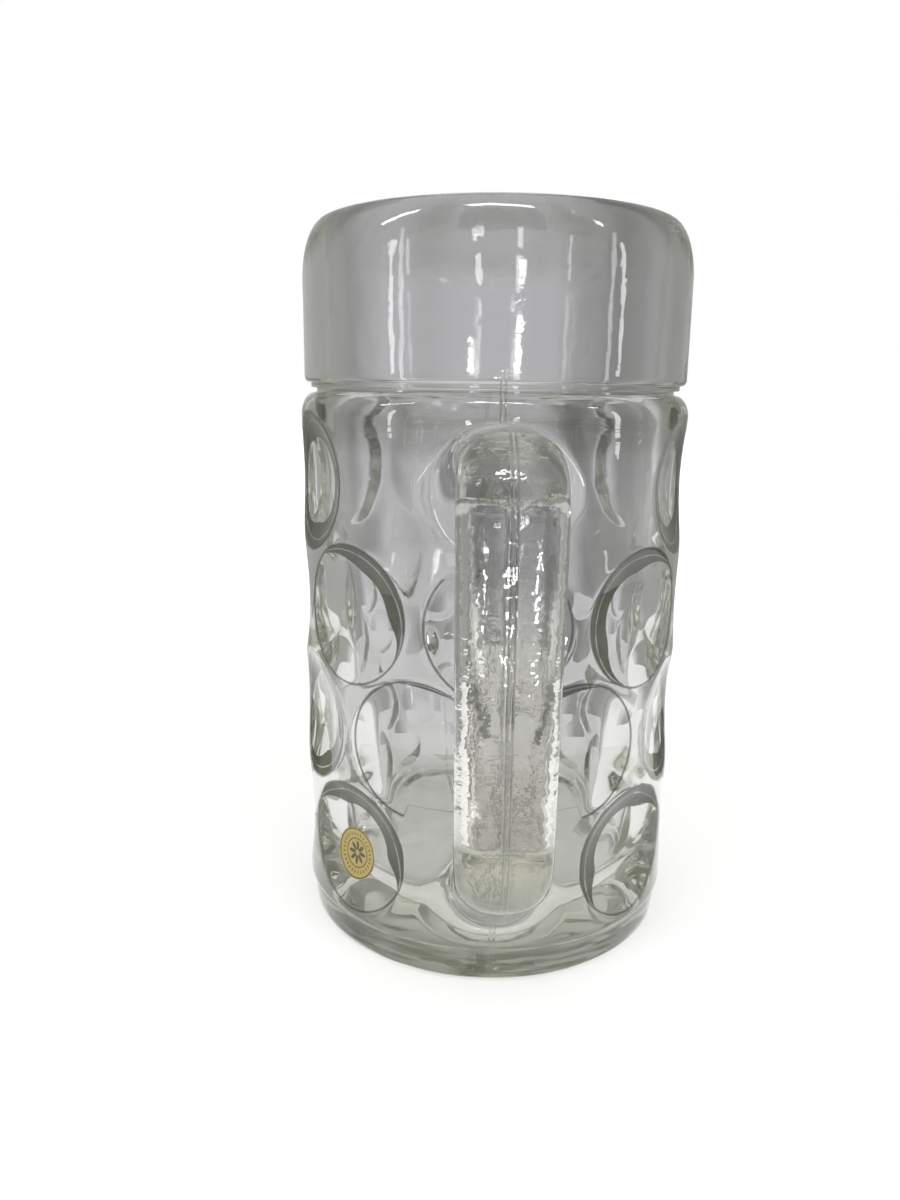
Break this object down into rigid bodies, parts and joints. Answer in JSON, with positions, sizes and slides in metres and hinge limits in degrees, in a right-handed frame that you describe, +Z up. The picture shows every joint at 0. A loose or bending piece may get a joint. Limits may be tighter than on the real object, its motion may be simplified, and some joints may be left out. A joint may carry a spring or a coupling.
{
  "type": "dimpled glass beer mug",
  "caption": "Tall clear pressed-glass beer mug with staggered round dimples, a plain drinking band over a groove, a looped handle with flared roots and a small round foil label.",
  "frame": {"origin": "on the mug's axis, in the plane of the foot that it stands on", "axes": "+Z up along the mug's axis, -Y out through the middle of the handle, +X across the handle to the right when it is seen from the handle's side"},
  "size_m": [0.108, 0.1548, 0.1955],
  "materials": {
    "body_glass": "clear pressed glass with a faint grey-green tint and soft ripples",
    "handle_glass": "clear pressed glass, rippled, with a fine mould seam along the middle",
    "gold_foil": "matt gold foil on thin paper with a dark printed ring"
  },
  "bodies": {
    "root": {"glass_body": "body_glass", "glass_handle": "handle_glass", "foil_label": "gold_foil"}
  },
  "joints": []
}
